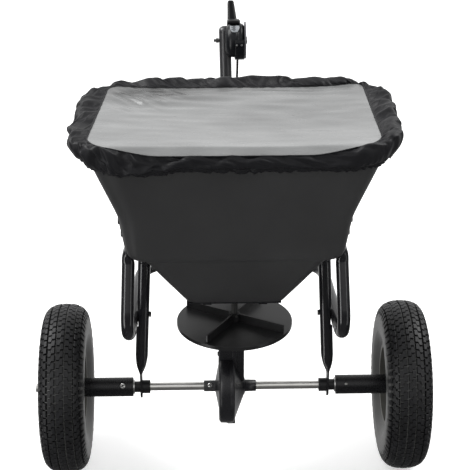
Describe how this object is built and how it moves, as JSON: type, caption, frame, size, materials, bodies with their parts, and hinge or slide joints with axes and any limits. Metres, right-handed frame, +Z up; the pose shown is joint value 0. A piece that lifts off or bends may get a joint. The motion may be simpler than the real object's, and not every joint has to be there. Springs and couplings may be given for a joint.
{
  "type": "garden spreader",
  "caption": "Tow-behind broadcast spreader: tapered hopper under an elastic rain cover, geared spinner disc, turf-tread wheels, tube frame, drawbar and a lever flow control on a post.",
  "frame": {"origin": "on the ground under the middle of the whole object's box", "axes": "+X to the right seen from behind, +Y forward to the towing vehicle, +Z up"},
  "size_m": [0.776, 1.093, 0.7788],
  "materials": {
    "frame_paint": "gloss black powder coat",
    "lever_steel": "black painted steel strip",
    "bright_steel": "bright drawn steel",
    "zinc_steel": "zinc plated steel",
    "hub_steel": "black painted steel tube",
    "rim_paint": "dark grey paint",
    "tyre": "moulded black rubber",
    "tube_rubber": "butyl rubber",
    "hopper_plastic": "charcoal moulded polyethylene",
    "black_plastic": "black moulded nylon",
    "head_plastic": "dark blue-grey moulded nylon",
    "head_plate": "grey moulded disc with a paler edge",
    "scale_plastic": "white printed strip, marks only",
    "bush_plastic": "oil-filled nylon",
    "gearbox_plastic": "black glass-filled nylon",
    "gear_plastic": "dark acetal",
    "spinner_plastic": "black moulded plastic",
    "cable_jacket": "black vinyl jacket over a wound steel conduit",
    "cover_fabric": "black coated nylon with an elastic hem",
    "clear_vinyl": "clear flexible vinyl, creased"
  },
  "bodies": {
    "frame": {"left_frame_tube": "frame_paint", "right_frame_tube": "frame_paint", "left_axle_strut": "frame_paint", "right_axle_strut": "frame_paint", "axle_bushes": "bush_plastic", "strut_bolts": "zinc_steel", "hopper_bolts": "zinc_steel", "drawbar": "frame_paint", "hitch_plates": "frame_paint", "drawbar_bolts": "zinc_steel", "control_post": "frame_paint", "post_cap": "black_plastic", "clamp_bolt": "zinc_steel", "clamp_wing_nut": "zinc_steel", "control_housing": "head_plastic", "control_cover": "head_plastic", "control_side_plate": "head_plate", "control_scale": "scale_plastic", "lever_pivot_pin": "zinc_steel", "control_cable": "cable_jacket", "cable_clips": "black_plastic", "cable_ferrule": "zinc_steel", "hopper": "hopper_plastic", "hopper_bush": "bush_plastic", "outlet_plate": "frame_paint", "outlet_screws": "zinc_steel", "gate_guides": "black_plastic", "gearbox_left_half": "gearbox_plastic", "gearbox_right_half": "gearbox_plastic", "gearbox_screws": "zinc_steel", "shaft_bush": "bush_plastic"},
    "axle": {"axle": "bright_steel", "axle_washers": "zinc_steel", "axle_cotter_pins": "zinc_steel", "drive_gear": "gear_plastic", "gear_screw": "zinc_steel", "left_drive_bolt": "zinc_steel", "left_wheel_hub": "hub_steel", "left_hub_bushes": "bush_plastic", "left_wheel_rim": "rim_paint", "left_tyre": "tyre", "left_inner_tube": "tube_rubber"},
    "right_wheel": {"right_wheel_hub": "hub_steel", "right_hub_bushes": "bush_plastic", "right_wheel_rim": "rim_paint", "right_tyre": "tyre", "right_inner_tube": "tube_rubber"},
    "spinner": {"spinner_shaft": "bright_steel", "spinner_disc": "spinner_plastic", "spinner_pin": "zinc_steel", "agitator": "bright_steel", "pinion_gear": "gear_plastic"},
    "lever": {"flow_lever": "lever_steel", "lever_grip": "black_plastic"},
    "gate": {"flow_gate": "zinc_steel", "gate_wire": "bright_steel"},
    "cover": {"rain_cover": "cover_fabric", "cover_window": "clear_vinyl"}
  },
  "joints": [
    {"name": "axle_spin", "type": "hinge", "parent": "frame", "child": "axle", "pos_m": [0, -0.3585, 0.165], "axis": [1, 0, 0], "continuous": true},
    {"name": "right_wheel_spin", "type": "hinge", "parent": "axle", "child": "right_wheel", "pos_m": [0.327, -0.3585, 0.165], "axis": [1, 0, 0], "continuous": true},
    {"name": "spinner_spin", "type": "hinge", "parent": "frame", "child": "spinner", "pos_m": [0, -0.3585, 0.304], "axis": [0, 0, 1], "continuous": true},
    {"name": "flow_lever_swing", "type": "hinge", "parent": "frame", "child": "lever", "pos_m": [0.01, 0.1535, 0.712], "axis": [1, 0, 0], "range_deg": [0, 60]},
    {"name": "gate_slide", "type": "slide", "parent": "frame", "child": "gate", "axis": [0, 1, 0], "range_m": [0, 0.03]},
    {"name": "cover_lift", "type": "slide", "parent": "frame", "child": "cover", "axis": [0, 0, 1], "range_m": [0, 0.3]}
  ],
  "couplings": [
    {"joint": "spinner_spin", "follows": "axle_spin", "ratio": 4},
    {"joint": "gate_slide", "follows": "flow_lever_swing", "m_per_rad": 0.02864}
  ]
}
